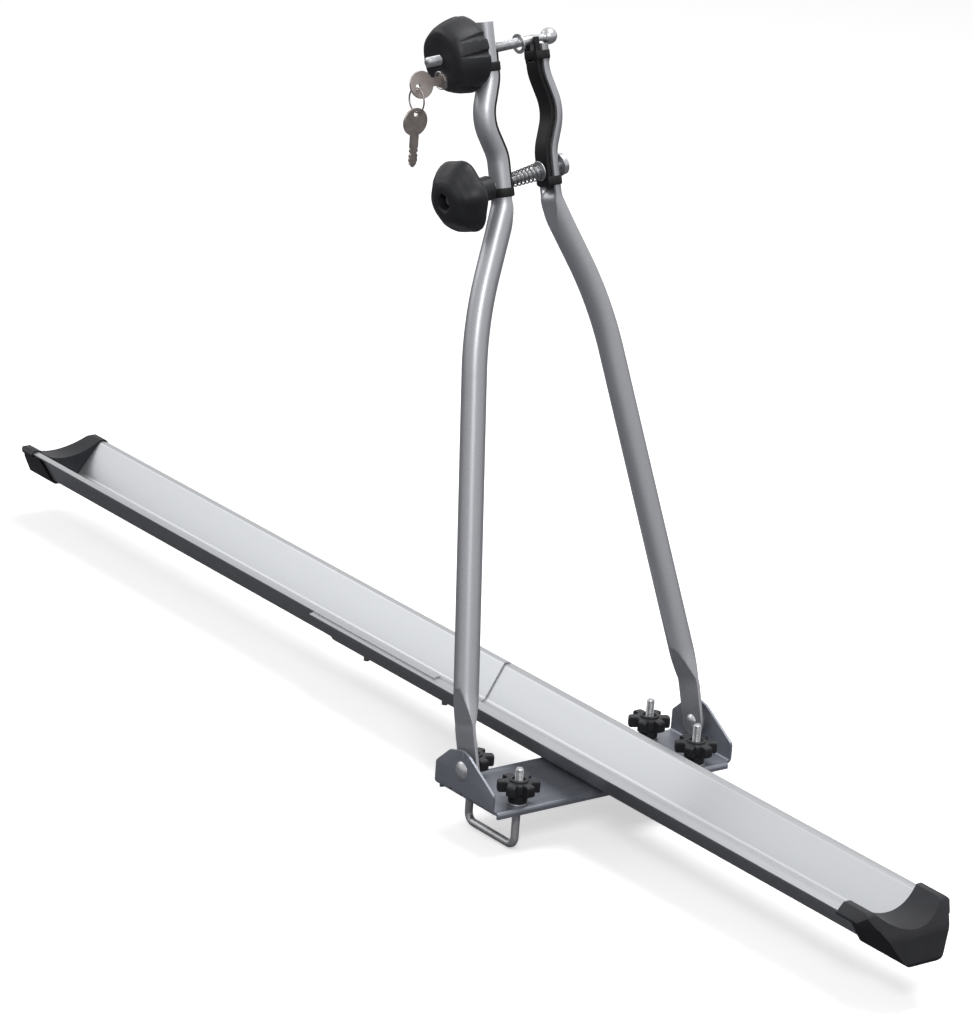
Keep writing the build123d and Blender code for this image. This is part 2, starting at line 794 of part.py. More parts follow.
def locking_knob():
    back = -square_seat(seat_y_top + jaw_depth, knob_seat_r, upper_deg)
    hub_back = -square_seat(seat_y_top + jaw_depth + band_t, knob_hub_r, upper_deg)
    outline = [
        (knob_face_s, 0), (knob_face_s, knob_face_r - knob_edge_r),
        (knob_face_s + knob_edge_r, knob_face_r), *knob_flank, (knob_widest_s, knob_r), knob_turn,
        (knob_rim_s, knob_rim_r), (knob_rim_s, knob_hub_r), (hub_back, knob_hub_r), (hub_back, knob_seat_r),
        (back, knob_seat_r), (back, 0),
    ]
    knob = revolved(upper_plane, outline)
    for index in range(groove_pairs * len(groove_turns)):
        pair, which = divmod(index, len(groove_turns))
        turn = Rot(0, 0, 360 * pair / groove_pairs + groove_turns[which])
        plane = Plane(upper_plane * turn * Pos(groove_axis_r, 0, 0))
        knob -= tube_between(plane, groove_r, groove_tip_s, groove_back_s)
        knob -= plane.offset(groove_tip_s) * Sphere(groove_r)
    knob -= tube_between(upper_plane, clamp_bolt_r + bolt_fit, knob_face_s - past, 0)
    return knob - tube_between(lock_plane, lock_r, knob_face_s - past, lock_back_s)


def lock_barrel():
    face_s = knob_face_s - lock_proud
    body = tube_between(lock_plane, lock_r, lock_back_s, face_s)
    return body - tube_between(lock_plane, lock_core_r + key_fit, face_s - past, lock_back_s - lock_floor)


def key_profile(head_s, hole_s, hole_side, tip_s, head_r, blade_w):
    """A flat key's outline in its own plane: x along the key, y across it. Its tip is an arrow."""
    way = 1 if tip_s > head_s else -1
    shoulder = head_s + way * head_r * key_shoulder
    neck = Pos((shoulder + tip_s) / 2, 0) * Rectangle(abs(tip_s - shoulder), blade_w)
    face = Pos(head_s, 0) * Circle(head_r) + neck
    for index, depth in enumerate(key_bit_depths):
        bit_x = tip_s - way * key_bit_pitch * (index + 1)
        for edge in (-blade_w / 2, blade_w / 2):
            face -= Pos(bit_x, edge) * Rot(0, 0, 45) * Rectangle(depth, depth)
    for edge in (-blade_w / 2, blade_w / 2):
        face -= Pos(tip_s, edge) * Rot(0, 0, 45) * Rectangle(key_point_share * 2 * blade_w, key_point_share * 2 * blade_w)
    return face - Pos(hole_s, hole_side) * Circle(key_hole_r)


def flat_key():
    """The key in the lock, in key_plane, whose x runs along the lock's axis."""
    side = -1 if key_plane.y_dir.Z > 0 else 1
    face = key_profile(key_head_s, key_hole_s, side * (key_hole_drop - lock_drop), key_blade_end_s,
                       key_head_r, key_blade_w)
    return key_plane.offset(-key_t / 2) * extrude(face, key_t)


def lock_core():
    face_s = knob_face_s - lock_proud - core_sunk
    body = tube_between(lock_plane, lock_core_r, face_s, lock_back_s - lock_floor - turn_gap)
    length = key_blade_end_s + turn_gap - face_s
    slot = Box(
        length, key_blade_w + 2 * key_fit, key_t + 2 * key_fit, align=(Align.MIN, Align.CENTER, Align.CENTER)
    )
    return body - key_plane * Pos(face_s, 0, 0) * slot


def key_hole_world():
    """The middle of the key's hole, in the arm's frame and then in the world's."""
    side = -1 if key_plane.y_dir.Z > 0 else 1
    point = key_plane.from_local_coords((key_hole_s, side * (key_hole_drop - lock_drop), 0))
    return (arm_frame * Pos(*point)).position


def ring_top_z(hole):
    """The height of the ring's wire where it hangs in the key's leaning hole."""
    lean_rise = key_t / 2 * sin(radians(lean_deg))
    return hole.Z - key_hole_r + hang_gap + ring_wire_r + lean_rise


def key_ring():
    hole = key_hole_world()
    return Pos(hole.X, hole.Y, ring_top_z(hole) - ring_r) * Rot(90, 0, 0) * Torus(ring_r, ring_wire_r)


def spare_key():
    hole = key_hole_world()
    ring_bottom = ring_top_z(hole) - 2 * ring_r
    hole_z = ring_bottom + ring_wire_r + hang_gap - key_hole_r
    top_z = hole_z + spare_hole_in
    face = key_profile(-spare_head_r, -spare_hole_in, 0, -spare_length, spare_head_r, spare_blade_w)
    plane = Plane(origin=(hole.X, hole.Y, top_z), x_dir=(0, 0, 1), z_dir=(1, 0, 0))
    return plane.offset(-key_t / 2) * extrude(face, key_t)


# Lower clamp bolt, its knob and spring
def lower_knob():
    outline = [
        (lower_face_s, 0), (lower_face_s, lower_face_r), *lower_flank, (lower_widest_s, lower_knob_r),
        lower_turn, (lower_back_s, lower_back_r), (lower_back_s, 0),
    ]
    knob = revolved(lower_plane, outline)
    for index in range(star_lobes):
        turn = Rot(0, 0, 360 * (index + 0.5) / star_lobes)
        plane = Plane(lower_plane * turn * Pos(lower_dip_reach, 0, 0))
        knob -= tube_between(plane, lower_dip_r, lower_face_s - past, lower_back_s + past)
    knob -= hexagon_bar(lower_plane, hex_flats, lower_face_s - past, lower_face_s + hex_depth)
    return knob - tube_between(lower_plane, clamp_bolt_r + bolt_fit, lower_tip - past, 0)


def knob_collar():
    end_s = -square_seat(seat_y_low + jaw_depth + band_t, collar_r, lower_deg)
    return washer(lower_plane, collar_r, clamp_bolt_r + bolt_fit, lower_back_s, end_s - lower_back_s)


far_washer_s = square_seat(seat_y_low + jaw_depth, far_washer_r, lower_deg)


def lower_bolt():
    far_end = far_washer_s + far_washer_t + far_nut_h - far_nut_floor
    return tube_between(lower_plane, clamp_bolt_r, lower_tip, far_end)


def far_washer():
    return washer(lower_plane, far_washer_r, clamp_bolt_r, far_washer_s, far_washer_t)


def far_nut():
    """A round blind nut with a cross in its end."""
    s0 = far_washer_s + far_washer_t
    end_s = s0 + far_nut_h
    nut = tube_between(lower_plane, far_nut_r, s0, end_s)
    nut -= tube_between(lower_plane, clamp_bolt_r, s0 - past, end_s - far_nut_floor)
    for turn in (0, 90):
        bar = Rectangle(2 * far_nut_cross_r, far_nut_cross_w)
        nut -= lower_plane.offset(end_s - far_nut_cross_d) * Rot(0, 0, turn) * extrude(bar, past)
    return nut


def spring_point(turn):
    """The wire's middle at a number of turns from the near end, in lower_plane's own frame."""
    share = turn / spring_turns
    r = spring_r_near + (spring_r_far - spring_r_near) * share
    s = spring_s0 + spring_wire_r + (spring_s1 - spring_s0 - 2 * spring_wire_r) * share
    return Vector(r * cos(2 * pi * turn), r * sin(2 * pi * turn), s)


def spring_heading(turn):
    step = 0.001
    return (spring_point(turn + step) - spring_point(turn - step)).normalized()


def spring_path():
    """The wire's middle line: a pair of arcs to each quarter turn, and a straight end at each side."""
    lead = 2 * spring_wire_r
    first, last = spring_point(0), spring_point(spring_turns)
    edges = [Edge.make_line(first - spring_heading(0) * lead, first)]
    pieces = round(spring_turns * 4)
    for index in range(pieces):
        start, end = spring_point(index / 4), spring_point((index + 1) / 4)
        leave, arrive = spring_heading(index / 4), spring_heading((index + 1) / 4)
        gap = end - start
        square = 2 * (1 - leave.dot(arrive))
        linear = 2 * gap.dot(leave + arrive)
        reach = (-linear + sqrt(linear**2 + 4 * square * gap.dot(gap))) / (2 * square)
        first_post, second_post = start + leave * reach, end - arrive * reach
        middle = (first_post + second_post) * 0.5
        edges.append(Edge.make_tangent_arc(start, leave, middle))
        edges.append(Edge.make_tangent_arc(middle, second_post - first_post, end))
    edges.append(Edge.make_line(last, last + spring_heading(spring_turns) * lead))
    return Wire(edges)


def spring_gap(samples_per_turn=48):
    """The least clear gap between one turn of the wire and the next, measured on points."""
    count = int(spring_turns * samples_per_turn)
    points = [spring_point(index / samples_per_turn) for index in range(count + 1)]
    least = min(
        (points[low] - points[high]).length
        for low in range(len(points))
        for high in range(low + samples_per_turn // 2, len(points))
    )
    return least - 2 * spring_wire_r


def spring():
    path = spring_path()
    start = Plane(origin=path @ 0, z_dir=path % 0)
    return lower_plane * sweep(start * Circle(spring_wire_r), path)


def spring_washer():
    return washer(lower_plane, spring_washer_r, clamp_bolt_r, spring_washer_s, spring_washer_t)


# The parts fixed to the base plate or standing on the roof bar
save(base_plate(), "base_plate")
save(front_rail(), "rail_front")
save(rear_rail(), "rail_rear")
front_cap = (cap_front_cover, cap_front_nose, cap_front_top_z, cap_front_ramp)
rear_cap = (cap_rear_cover, cap_rear_nose, cap_rear_top_z + nest_lift, cap_rear_ramp)
save(end_cap(0, rail_lip_y_front, front_rail_x1, 1, *front_cap), "cap_front")
save(end_cap(nest_lift, rail_lip_y_rear, rear_rail_x0, -1, *rear_cap), "cap_rear")
save(Compound(children=[joint_bolt(x) for x in joint_bolt_x]), "joint_bolts")
save(Compound(children=[joint_washer(x) for x in joint_bolt_x]), "joint_washers")
save(Compound(children=[joint_nut(x) for x in joint_bolt_x]), "joint_nuts")
save(Compound(children=[rail_rivet(x) for x in rail_rivet_x]), "rail_rivets")
for side, place, stud_top in ((-1, "near", stud_top_near_z), (1, "far", stud_top_far_z)):
    save(pivot_rivet(side), f"pivot_rivet_{place}")
    save(pivot_spacer(side), f"pivot_spacer_{place}")
    save(ubolt(side, stud_top), f"ubolt_{place}")
    save(leg_washers(side), f"leg_washers_{place}")
    for end, x in (("rear", -leg_x), ("front", leg_x)):
        save(star_knob(side, x), f"star_knob_{place}_{end}")
        save(star_insert(side, x), f"star_insert_{place}_{end}")

# The parts that fold with the arms, drawn in the arms' own frame
arm_parts = {
    "arm_near": near_arm(),
    "arm_far": far_arm(),
    "pad_near": near_pad(),
    "pad_far": far_pad(),
    "upper_bolt": upper_bolt(),
    "upper_washer": upper_washer(),
    "locking_knob": locking_knob(),
    "lock_barrel": lock_barrel(),
    "lock_core": lock_core(),
    "key": flat_key(),
    "lower_bolt": lower_bolt(),
    "lower_knob": lower_knob(),
    "knob_collar": knob_collar(),
    "far_washer": far_washer(),
    "far_nut": far_nut(),
    "spring": spring(),
    "spring_washer": spring_washer(),
}
for name, shape in arm_parts.items():
    save(arm_frame * shape, name)

# The ring and the spare key hang straight down
save(key_ring(), "key_ring")
save(spare_key(), "spare_key")

print("least gap between the spring's turns", round(spring_gap(), 2), "mm")
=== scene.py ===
import json
import math

import bmesh
import bpy
from mathutils import Matrix, Vector


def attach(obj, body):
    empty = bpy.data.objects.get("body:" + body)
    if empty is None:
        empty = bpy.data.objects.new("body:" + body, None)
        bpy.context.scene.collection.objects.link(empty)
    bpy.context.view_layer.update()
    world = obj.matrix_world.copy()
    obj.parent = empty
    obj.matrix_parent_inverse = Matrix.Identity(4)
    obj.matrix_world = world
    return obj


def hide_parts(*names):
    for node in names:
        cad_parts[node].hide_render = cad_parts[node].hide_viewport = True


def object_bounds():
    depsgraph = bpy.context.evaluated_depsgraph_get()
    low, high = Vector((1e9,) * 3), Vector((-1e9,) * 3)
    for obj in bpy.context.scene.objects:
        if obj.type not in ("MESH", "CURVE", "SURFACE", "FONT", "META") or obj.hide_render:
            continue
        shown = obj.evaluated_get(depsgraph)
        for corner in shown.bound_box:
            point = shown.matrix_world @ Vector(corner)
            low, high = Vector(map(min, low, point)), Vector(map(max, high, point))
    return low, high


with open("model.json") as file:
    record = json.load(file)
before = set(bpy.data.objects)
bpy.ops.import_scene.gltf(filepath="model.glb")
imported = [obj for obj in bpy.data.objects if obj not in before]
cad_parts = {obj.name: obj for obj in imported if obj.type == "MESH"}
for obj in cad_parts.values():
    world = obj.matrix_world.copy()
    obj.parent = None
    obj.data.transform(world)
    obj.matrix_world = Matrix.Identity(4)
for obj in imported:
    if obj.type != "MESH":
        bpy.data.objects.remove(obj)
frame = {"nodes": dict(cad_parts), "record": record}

cad_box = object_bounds()

MM = 0.001

# The camera of the photograph
image_long_px = 1024.0
focal_px = 5432.0
camera_place = Vector((3.6970, -3.0469, 1.9459))
camera_azimuth = 51.83
camera_elevation = 19.45
camera_roll = 4.27

# The studio
ambient_strength = 0.28
floor_drop = 0.002
floor_white = 0.85
floor_glow = 0.52
floor_bounce = (0.16, 0.16, 0.175)

# The arms' frame
lean = math.radians(16.6)
pivot = Vector((-4.0, 0.0, 27.0)) * MM


def add_camera():
    """A long lens that looks along the photograph's line of sight."""
    azimuth, elevation = math.radians(camera_azimuth), math.radians(camera_elevation)
    back = Vector((
        math.sin(azimuth) * math.cos(elevation), -math.cos(azimuth) * math.cos(elevation),
        math.sin(elevation),
    ))
    right = Vector((0, 0, 1)).cross(back).normalized()
    up = back.cross(right)
    turn = Matrix.Rotation(math.radians(camera_roll), 3, back)
    right, up = turn @ right, turn @ up
    data = bpy.data.cameras.new("photo_camera")
    data.sensor_width = 36.0
    data.sensor_fit = "AUTO"
    data.lens = focal_px * data.sensor_width / image_long_px
    data.clip_end = 50.0
    camera = bpy.data.objects.new("photo_camera", data)
    camera.matrix_world = Matrix((
        (right.x, up.x, back.x, camera_place.x),
        (right.y, up.y, back.y, camera_place.y),
        (right.z, up.z, back.z, camera_place.z),
        (0, 0, 0, 1),
    ))
    bpy.context.scene.collection.objects.link(camera)
    bpy.context.scene.camera = camera


def add_area_light(name, place, target, size, power):
    data = bpy.data.lights.new(name, "AREA")
    data.shape = "RECTANGLE"
    data.size, data.size_y = size
    data.energy = power
    lamp = bpy.data.objects.new(name, data)
    lamp.location = place
    lamp.rotation_euler = (Vector(target) - Vector(place)).to_track_quat("-Z", "Y").to_euler()
    bpy.context.scene.collection.objects.link(lamp)


def add_world():
    """Even studio light that the camera and the metal see as white."""
    world = bpy.data.worlds.new("studio")
    bpy.context.scene.world = world
    world.use_nodes = True
    nodes, links = world.node_tree.nodes, world.node_tree.links
    nodes.clear()
    path = nodes.new("ShaderNodeLightPath")
    seen = nodes.new("ShaderNodeMath")
    seen.operation = "MAXIMUM"
    through = nodes.new("ShaderNodeMath")
    through.operation = "MAXIMUM"
    links.new(path.outputs["Is Glossy Ray"], through.inputs[0])
    links.new(path.outputs["Is Transmission Ray"], through.inputs[1])
    links.new(path.outputs["Is Camera Ray"], seen.inputs[0])
    links.new(through.outputs[0], seen.inputs[1])
    light = nodes.new("ShaderNodeBackground")
    light.inputs["Color"].default_value = (1, 1, 1, 1)
    light.inputs["Strength"].default_value = ambient_strength
    white = nodes.new("ShaderNodeBackground")
    white.inputs["Color"].default_value = (1, 1, 1, 1)
    white.inputs["Strength"].default_value = 1.0
    mix = nodes.new("ShaderNodeMixShader")
    output = nodes.new("ShaderNodeOutputWorld")
    links.new(seen.outputs[0], mix.inputs[0])
    links.new(light.outputs[0], mix.inputs[1])
    links.new(white.outputs[0], mix.inputs[2])
    links.new(mix.outputs[0], output.inputs["Surface"])


def add_floor():
    """A white floor that shows only the carrier's soft shadow."""
    mesh = bpy.data.meshes.new("floor")
    shape = bmesh.new()
    bmesh.ops.create_grid(shape, x_segments=1, y_segments=1, size=30.0)
    bmesh.ops.translate(shape, verts=shape.verts, vec=(0, 0, cad_box[0][2] - floor_drop))
    shape.to_mesh(mesh)
    shape.free()
    floor = bpy.data.objects.new("floor", mesh)
    bpy.context.scene.collection.objects.link(floor)
    material = bpy.data.materials.new("floor_white")
    material.use_nodes = True
    nodes, links = material.node_tree.nodes, material.node_tree.links
    nodes.clear()
    paper = nodes.new("ShaderNodeBsdfDiffuse")
    paper.inputs["Color"].default_value = (floor_white, floor_white, floor_white, 1)
    glow = nodes.new("ShaderNodeEmission")
    glow.inputs["Color"].default_value = (1, 1, 1, 1)
    glow.inputs["Strength"].default_value = floor_glow
    under = nodes.new("ShaderNodeBsdfDiffuse")
    under.inputs["Color"].default_value = (*floor_bounce, 1)
    both = nodes.new("ShaderNodeAddShader")
    path = nodes.new("ShaderNodeLightPath")
    mix = nodes.new("ShaderNodeMixShader")
    output = nodes.new("ShaderNodeOutputMaterial")
    links.new(paper.outputs[0], both.inputs[0])
    links.new(glow.outputs[0], both.inputs[1])
    links.new(path.outputs["Is Camera Ray"], mix.inputs[0])
    links.new(under.outputs[0], mix.inputs[1])
    links.new(both.outputs[0], mix.inputs[2])
    links.new(mix.outputs[0], output.inputs["Surface"])
    mesh.materials.append(material)


# Materials
pattern_low = 0.35
pattern_high = 0.65


def start_material(name, color, metallic, roughness):
    """A material with its main shader, ready for its own pattern."""
    material = bpy.data.materials.new(name)
    material.use_nodes = True
    nodes = material.node_tree.nodes
    shader = nodes["Principled BSDF"]
    shader.inputs["Base Color"].default_value = (*color, 1)
    shader.inputs["Metallic"].default_value = metallic
    shader.inputs["Roughness"].default_value = roughness
    return material, nodes, material.node_tree.links, shader


def object_noise(nodes, links, scale, detail=2.0, stretch=(1, 1, 1)):
    coords = nodes.new("ShaderNodeTexCoord")
    mapping = nodes.new("ShaderNodeMapping")
    mapping.inputs["Scale"].default_value = stretch
    noise = nodes.new("ShaderNodeTexNoise")
    noise.inputs["Scale"].default_value = scale
    noise.inputs["Detail"].default_value = detail
    links.new(coords.outputs["Object"], mapping.inputs["Vector"])
    links.new(mapping.outputs["Vector"], noise.inputs["Vector"])
    return noise.outputs["Fac"]


def color_between(nodes, links, factor, dark, light):
    """A colour that goes from dark to light over the middle of a pattern."""
    ramp = nodes.new("ShaderNodeValToRGB")
    ramp.color_ramp.elements[0].position = pattern_low
    ramp.color_ramp.elements[0].color = (*dark, 1)
    ramp.color_ramp.elements[1].position = pattern_high
    ramp.color_ramp.elements[1].color = (*light, 1)
    links.new(factor, ramp.inputs["Fac"])
    return ramp.outputs["Color"]


def range_between(nodes, links, factor, low, high):
    span = nodes.new("ShaderNodeMapRange")
    span.inputs["To Min"].default_value = low
    span.inputs["To Max"].default_value = high
    links.new(factor, span.inputs["Value"])
    return span.outputs["Result"]


def add_bump(nodes, links, shader, height, strength, distance):
    bump = nodes.new("ShaderNodeBump")
    bump.inputs["Strength"].default_value = strength
    bump.inputs["Distance"].default_value = distance
    links.new(height, bump.inputs["Height"])
    links.new(bump.outputs["Normal"], shader.inputs["Normal"])


def metallic_paint(name, color, spread, roughness):
    """Silver paint: fine flake in the colour and a faint orange peel."""
    material, nodes, links, shader = start_material(name, color, 0.55, roughness)
    flake = object_noise(nodes, links, 2600.0, 1.0)
    dark = tuple(c * (1 - spread) for c in color)
    light = tuple(c * (1 + spread) for c in color)
    links.new(color_between(nodes, links, flake, dark, light), shader.inputs["Base Color"])
    broad = object_noise(nodes, links, 18.0, 3.0)
    shine = range_between(nodes, links, broad, roughness - 0.05, roughness + 0.07)
    links.new(shine, shader.inputs["Roughness"])
    add_bump(nodes, links, shader, object_noise(nodes, links, 700.0, 2.0), 0.12, 0.0002)
    return material


def anodised_aluminium(name, color, roughness):
    """Extruded aluminium, drawn along X."""
    material, nodes, links, shader = start_material(name, color, 0.85, roughness)
    lines = object_noise(nodes, links, 900.0, 3.0, (0.004, 1, 1))
    shine = range_between(nodes, links, lines, roughness - 0.06, roughness + 0.08)
    links.new(shine, shader.inputs["Roughness"])
    dark = tuple(c * 0.97 for c in color)
    light = tuple(min(c * 1.02, 1) for c in color)
    links.new(color_between(nodes, links, lines, dark, light), shader.inputs["Base Color"])
    add_bump(nodes, links, shader, lines, 0.04, 0.0001)
    return material


def moulded_plastic(name, color, roughness, grain=1400.0, depth=0.0002):
    """Black moulded plastic with a fine spark grain."""
    material, nodes, links, shader = start_material(name, color, 0.0, roughness)
    shader.inputs["Specular IOR Level"].default_value = 0.22
    grain_height = object_noise(nodes, links, grain, 2.0)
    broad = object_noise(nodes, links, 30.0, 3.0)
    dark = tuple(c * 0.8 for c in color)
    light = tuple(c * 1.25 for c in color)
    links.new(color_between(nodes, links, broad, dark, light), shader.inputs["Base Color"])
    shine = range_between(nodes, links, broad, roughness - 0.06, roughness + 0.06)
    links.new(shine, shader.inputs["Roughness"])
    add_bump(nodes, links, shader, grain_height, 0.35, depth)
    return material


def plated_steel(name, color, roughness, metallic=1.0):
    """Bright zinc: a soft mottle in its colour and shine."""
    material, nodes, links, shader = start_material(name, color, metallic, roughness)
    mottle = object_noise(nodes, links, 160.0, 4.0)
    dark = tuple(c * 0.86 for c in color)
    light = tuple(min(c * 1.1, 1) for c in color)
    links.new(color_between(nodes, links, mottle, dark, light), shader.inputs["Base Color"])
    shine = range_between(nodes, links, mottle, roughness - 0.06, roughness + 0.1)
    links.new(shine, shader.inputs["Roughness"])
    add_bump(nodes, links, shader, object_noise(nodes, links, 900.0, 2.0), 0.1, 0.0001)
    return material


arm_paint = metallic_paint("arm_silver_paint", (0.37, 0.377, 0.40), 0.14, 0.37)
plate_paint = metallic_paint("plate_grey_paint", (0.24, 0.252, 0.29), 0.12, 0.40)
rail_metal = anodised_aluminium("rail_aluminium", (0.44, 0.45, 0.465), 0.40)
cap_plastic = moulded_plastic("cap_plastic", (0.017, 0.0175, 0.021), 0.48)
knob_plastic = moulded_plastic("knob_plastic", (0.020, 0.0205, 0.023), 0.42)
pad_rubber = moulded_plastic("pad_rubber", (0.008, 0.008, 0.009), 0.55, 900.0, 0.0003)
zinc = plated_steel("bright_zinc", (0.50, 0.505, 0.52), 0.30, 0.8)
rod_zinc = plated_steel("rod_zinc", (0.48, 0.485, 0.50), 0.40, 0.6)
spring_steel = plated_steel("spring_steel", (0.13, 0.13, 0.14), 0.36, 0.7)
lock_chrome = plated_steel("lock_chrome", (0.34, 0.32, 0.31), 0.22, 0.8)
insert_brass = plated_steel("insert_brass", (0.30, 0.25, 0.15), 0.38)
key_nickel = plated_steel("key_nickel", (0.30, 0.265, 0.25), 0.34, 0.5)

slot_materials = {
    "plate_steel": plate_paint,
    "arm_paint": arm_paint,
    "rail_aluminium": rail_metal,
    "black_plastic": knob_plastic,
    "black_rubber": pad_rubber,
    "zinc_steel": zinc,
    "brass_insert": insert_brass,
    "chrome": lock_chrome,
    "key_nickel": key_nickel,
}


def dress_nodes():
    """Gives each solid of the frame its finish."""
    for entry in frame["record"]["subparts"]:
        node = frame["nodes"][entry["node"]]
        material = slot_materials[entry["material_slot"]]
        if entry["node"].startswith("cap_"):
            material = cap_plastic
        node.data.materials.clear()
        node.data.materials.append(material)


# Shared shaping tools. Lengths in the outlines below are millimetres, and these angles are degrees.
rounded_edge_angle = 30.0
sharp_edge_angle = 35.0


def finish_piece(shape, name, body, material, replaced, place, sharp):
    """Turns a shape into a smooth-shaded piece that rides on a body of the frame."""
    bmesh.ops.remove_doubles(shape, verts=shape.verts, dist=1e-6)
    bmesh.ops.recalc_face_normals(shape, faces=shape.faces)
    bmesh.ops.scale(shape, vec=(MM, MM, MM), verts=shape.verts)
    if place is not None:
        bmesh.ops.transform(shape, matrix=place, verts=shape.verts)
    mesh = bpy.data.meshes.new(name)
    shape.to_mesh(mesh)
    shape.free()
    mesh.materials.append(material)
    mesh.polygons.foreach_set("use_smooth", [True] * len(mesh.polygons))
    mesh.set_sharp_from_angle(angle=math.radians(sharp))
    piece = bpy.data.objects.new(name, mesh)
    bpy.context.scene.collection.objects.link(piece)
    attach(piece, body)
    if replaced:
        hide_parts(*replaced)


def round_edges(piece, width, segments):
    """A small rounding on each sharp edge, as moulding and pressing leave."""
    bevel = piece.modifiers.new("edge_rounding", "BEVEL")
    bevel.width = width * MM
    bevel.segments = segments
    bevel.limit_method = "ANGLE"
    bevel.angle_limit = math.radians(rounded_edge_angle)
    bevel.use_clamp_overlap = True
    bevel.harden_normals = False


def soften(node, name, body, material, width, segments=2):
    """Takes over a solid of the frame and gives it the small rounding of its making."""
    mesh = frame["nodes"][node].data.copy()
    mesh.name = name
    shape = bmesh.new()
    shape.from_mesh(mesh)
    bmesh.ops.remove_doubles(shape, verts=shape.verts, dist=1e-6)
    bmesh.ops.recalc_face_normals(shape, faces=shape.faces)
    shape.to_mesh(mesh)
    shape.free()
    mesh.materials.clear()
    mesh.materials.append(material)
    mesh.polygons.foreach_set("use_smooth", [True] * len(mesh.polygons))
    mesh.set_sharp_from_angle(angle=math.radians(sharp_edge_angle))
    piece = bpy.data.objects.new(name, mesh)
    bpy.context.scene.collection.objects.link(piece)
    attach(piece, body)
    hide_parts(node)
    if width:
        round_edges(piece, width, segments)


def lathe(outline, segments):
    """A body turned about Z from (r, z) points."""
    shape = bmesh.new()
    verts = [shape.verts.new((r, 0, z)) for r, z in outline]
    edges = [shape.edges.new(pair) for pair in zip(verts, verts[1:])]
    bmesh.ops.spin(
        shape, geom=verts + edges, cent=(0, 0, 0), axis=(0, 0, 1), dvec=(0, 0, 0),
        angle=2 * math.pi, steps=segments, use_merge=True, use_duplicate=False,
    )
    bmesh.ops.remove_doubles(shape, verts=shape.verts, dist=1e-5)
    return shape


def skin(sections, segments):
    """A closed skin through rings. Each section turns an angle into a point."""
    shape = bmesh.new()
    bmesh.ops.create_circle(shape, cap_ends=True, segments=segments, radius=1.0)
    edges = list(shape.edges)
    for _ in sections[1:]:
        made = bmesh.ops.extrude_edge_only(shape, edges=edges)["geom"]
        verts = [item for item in made if isinstance(item, bmesh.types.BMVert)]
        edges = [item for item in made if isinstance(item, bmesh.types.BMEdge)]
        bmesh.ops.translate(shape, vec=(0, 0, 1), verts=verts)
        edges = [edge for edge in edges if abs(edge.verts[0].co.z - edge.verts[1].co.z) < 0.5]
    bmesh.ops.contextual_create(shape, geom=edges)
    for vert in shape.verts:
        section = sections[round(vert.co.z)]
        vert.co = section(math.atan2(vert.co.y, vert.co.x))
    return shape


def clamped_share(value, low, high):
    return min(max((value - low) / (high - low), 0.0), 1.0)


def smooth_step(value, low, high):
    share = clamped_share(value, low, high)
    return share * share * (3 - 2 * share)


def between(low, high, share):
    return low + (high - low) * share


# Frames of the arms and of the two clamp bolts
arm_place = Matrix.Translation(pivot) @ Matrix.Rotation(-lean, 4, "Y")


def bolt_place(length, tilt_deg):
    """Local Z runs along a clamp bolt towards the far arm, local -Y up the arm."""
    tip = Matrix.Rotation(math.radians(tilt_deg - 90), 4, "X")
    return arm_place @ Matrix.Translation((0, 0, length * MM)) @ tip


upper_bolt_l = 666.5
upper_bolt_tilt = 4.5
lower_bolt_l = 542.5
lower_bolt_tilt = 8.4
upper_place = bolt_place(upper_bolt_l, upper_bolt_tilt)
lower_place = bolt_place(lower_bolt_l, lower_bolt_tilt)


# Arms: a tube pressed flat at the pivot and into a D at the jaw. Y is out from the middle, L up the arm
blade_y = 134.5
blade_half = 14.5
blade_half_t = 1.6
blade_l = (42.0, 80.0)
blade_widening_l = (36.0, 74.0)
tube_r = 12.0
flat_start = tube_r + 0.5
pinch_l = (492.0, 522.0)
dent_l = (518.0, 532.0)
jaw_half = 12.5
jaw_depth = 12.5
jaw_wall = 3.2
seat_low_y = 26.0
seat_top_y = 27.0
near_top_l = 690.0
far_top_l = 664.0
fork_l = 648.0
fork_half = 5.5
arm_corners = (
    (blade_y, 0.0), (blade_y, 37.4), (73.9, 413.7), (seat_low_y, 519.0), (seat_low_y, 565.0),
    (39.4, 600.0), (seat_top_y, 637.0),
)
arm_bends = (60.0, 350.0, 28.0, 42.0, 42.0, 42.0)
arm_step = 2.0


def straight_stations(start, end):
    way = (end - start).normalized()
    count = max(1, math.ceil((end - start).length / arm_step))
    tilt = math.atan2(way.x, way.y)
    points = [start.lerp(end, number / count) for number in range(count)]
    return [(point.x, point.y, tilt) for point in points]


def arm_stations(top_l):
    """Places (y, l) and tilts along the arm: straight runs joined by arcs."""
    corners = [Vector(corner) for corner in arm_corners] + [Vector((arm_corners[-1][0], top_l))]
    stations = []
    last = corners[0]
    for index, radius in enumerate(arm_bends):
        corner = corners[index + 1]
        way_in = (corner - corners[index]).normalized()
        way_out = (corners[index + 2] - corner).normalized()
        tilt_in, tilt_out = math.atan2(way_in.x, way_in.y), math.atan2(way_out.x, way_out.y)
        turn = tilt_out - tilt_in
        reach = radius * math.tan(abs(turn) / 2)
        start = corner - way_in * reach
        stations += straight_stations(last, start)
        count = max(4, math.ceil(radius * abs(turn) / arm_step))
        for number in range(count):
            tilt = tilt_in + turn * number / count
            half_turn = turn * number / count / 2
            chord = 2 * radius * math.sin(abs(half_turn))
            aim = tilt_in + half_turn
            stations.append((start.x + chord * math.sin(aim), start.y + chord * math.cos(aim), tilt))
        last = corner + way_out * reach
    stations += straight_stations(last, corners[-1])
    return stations + [(corners[-1].x, corners[-1].y, 0.0)]


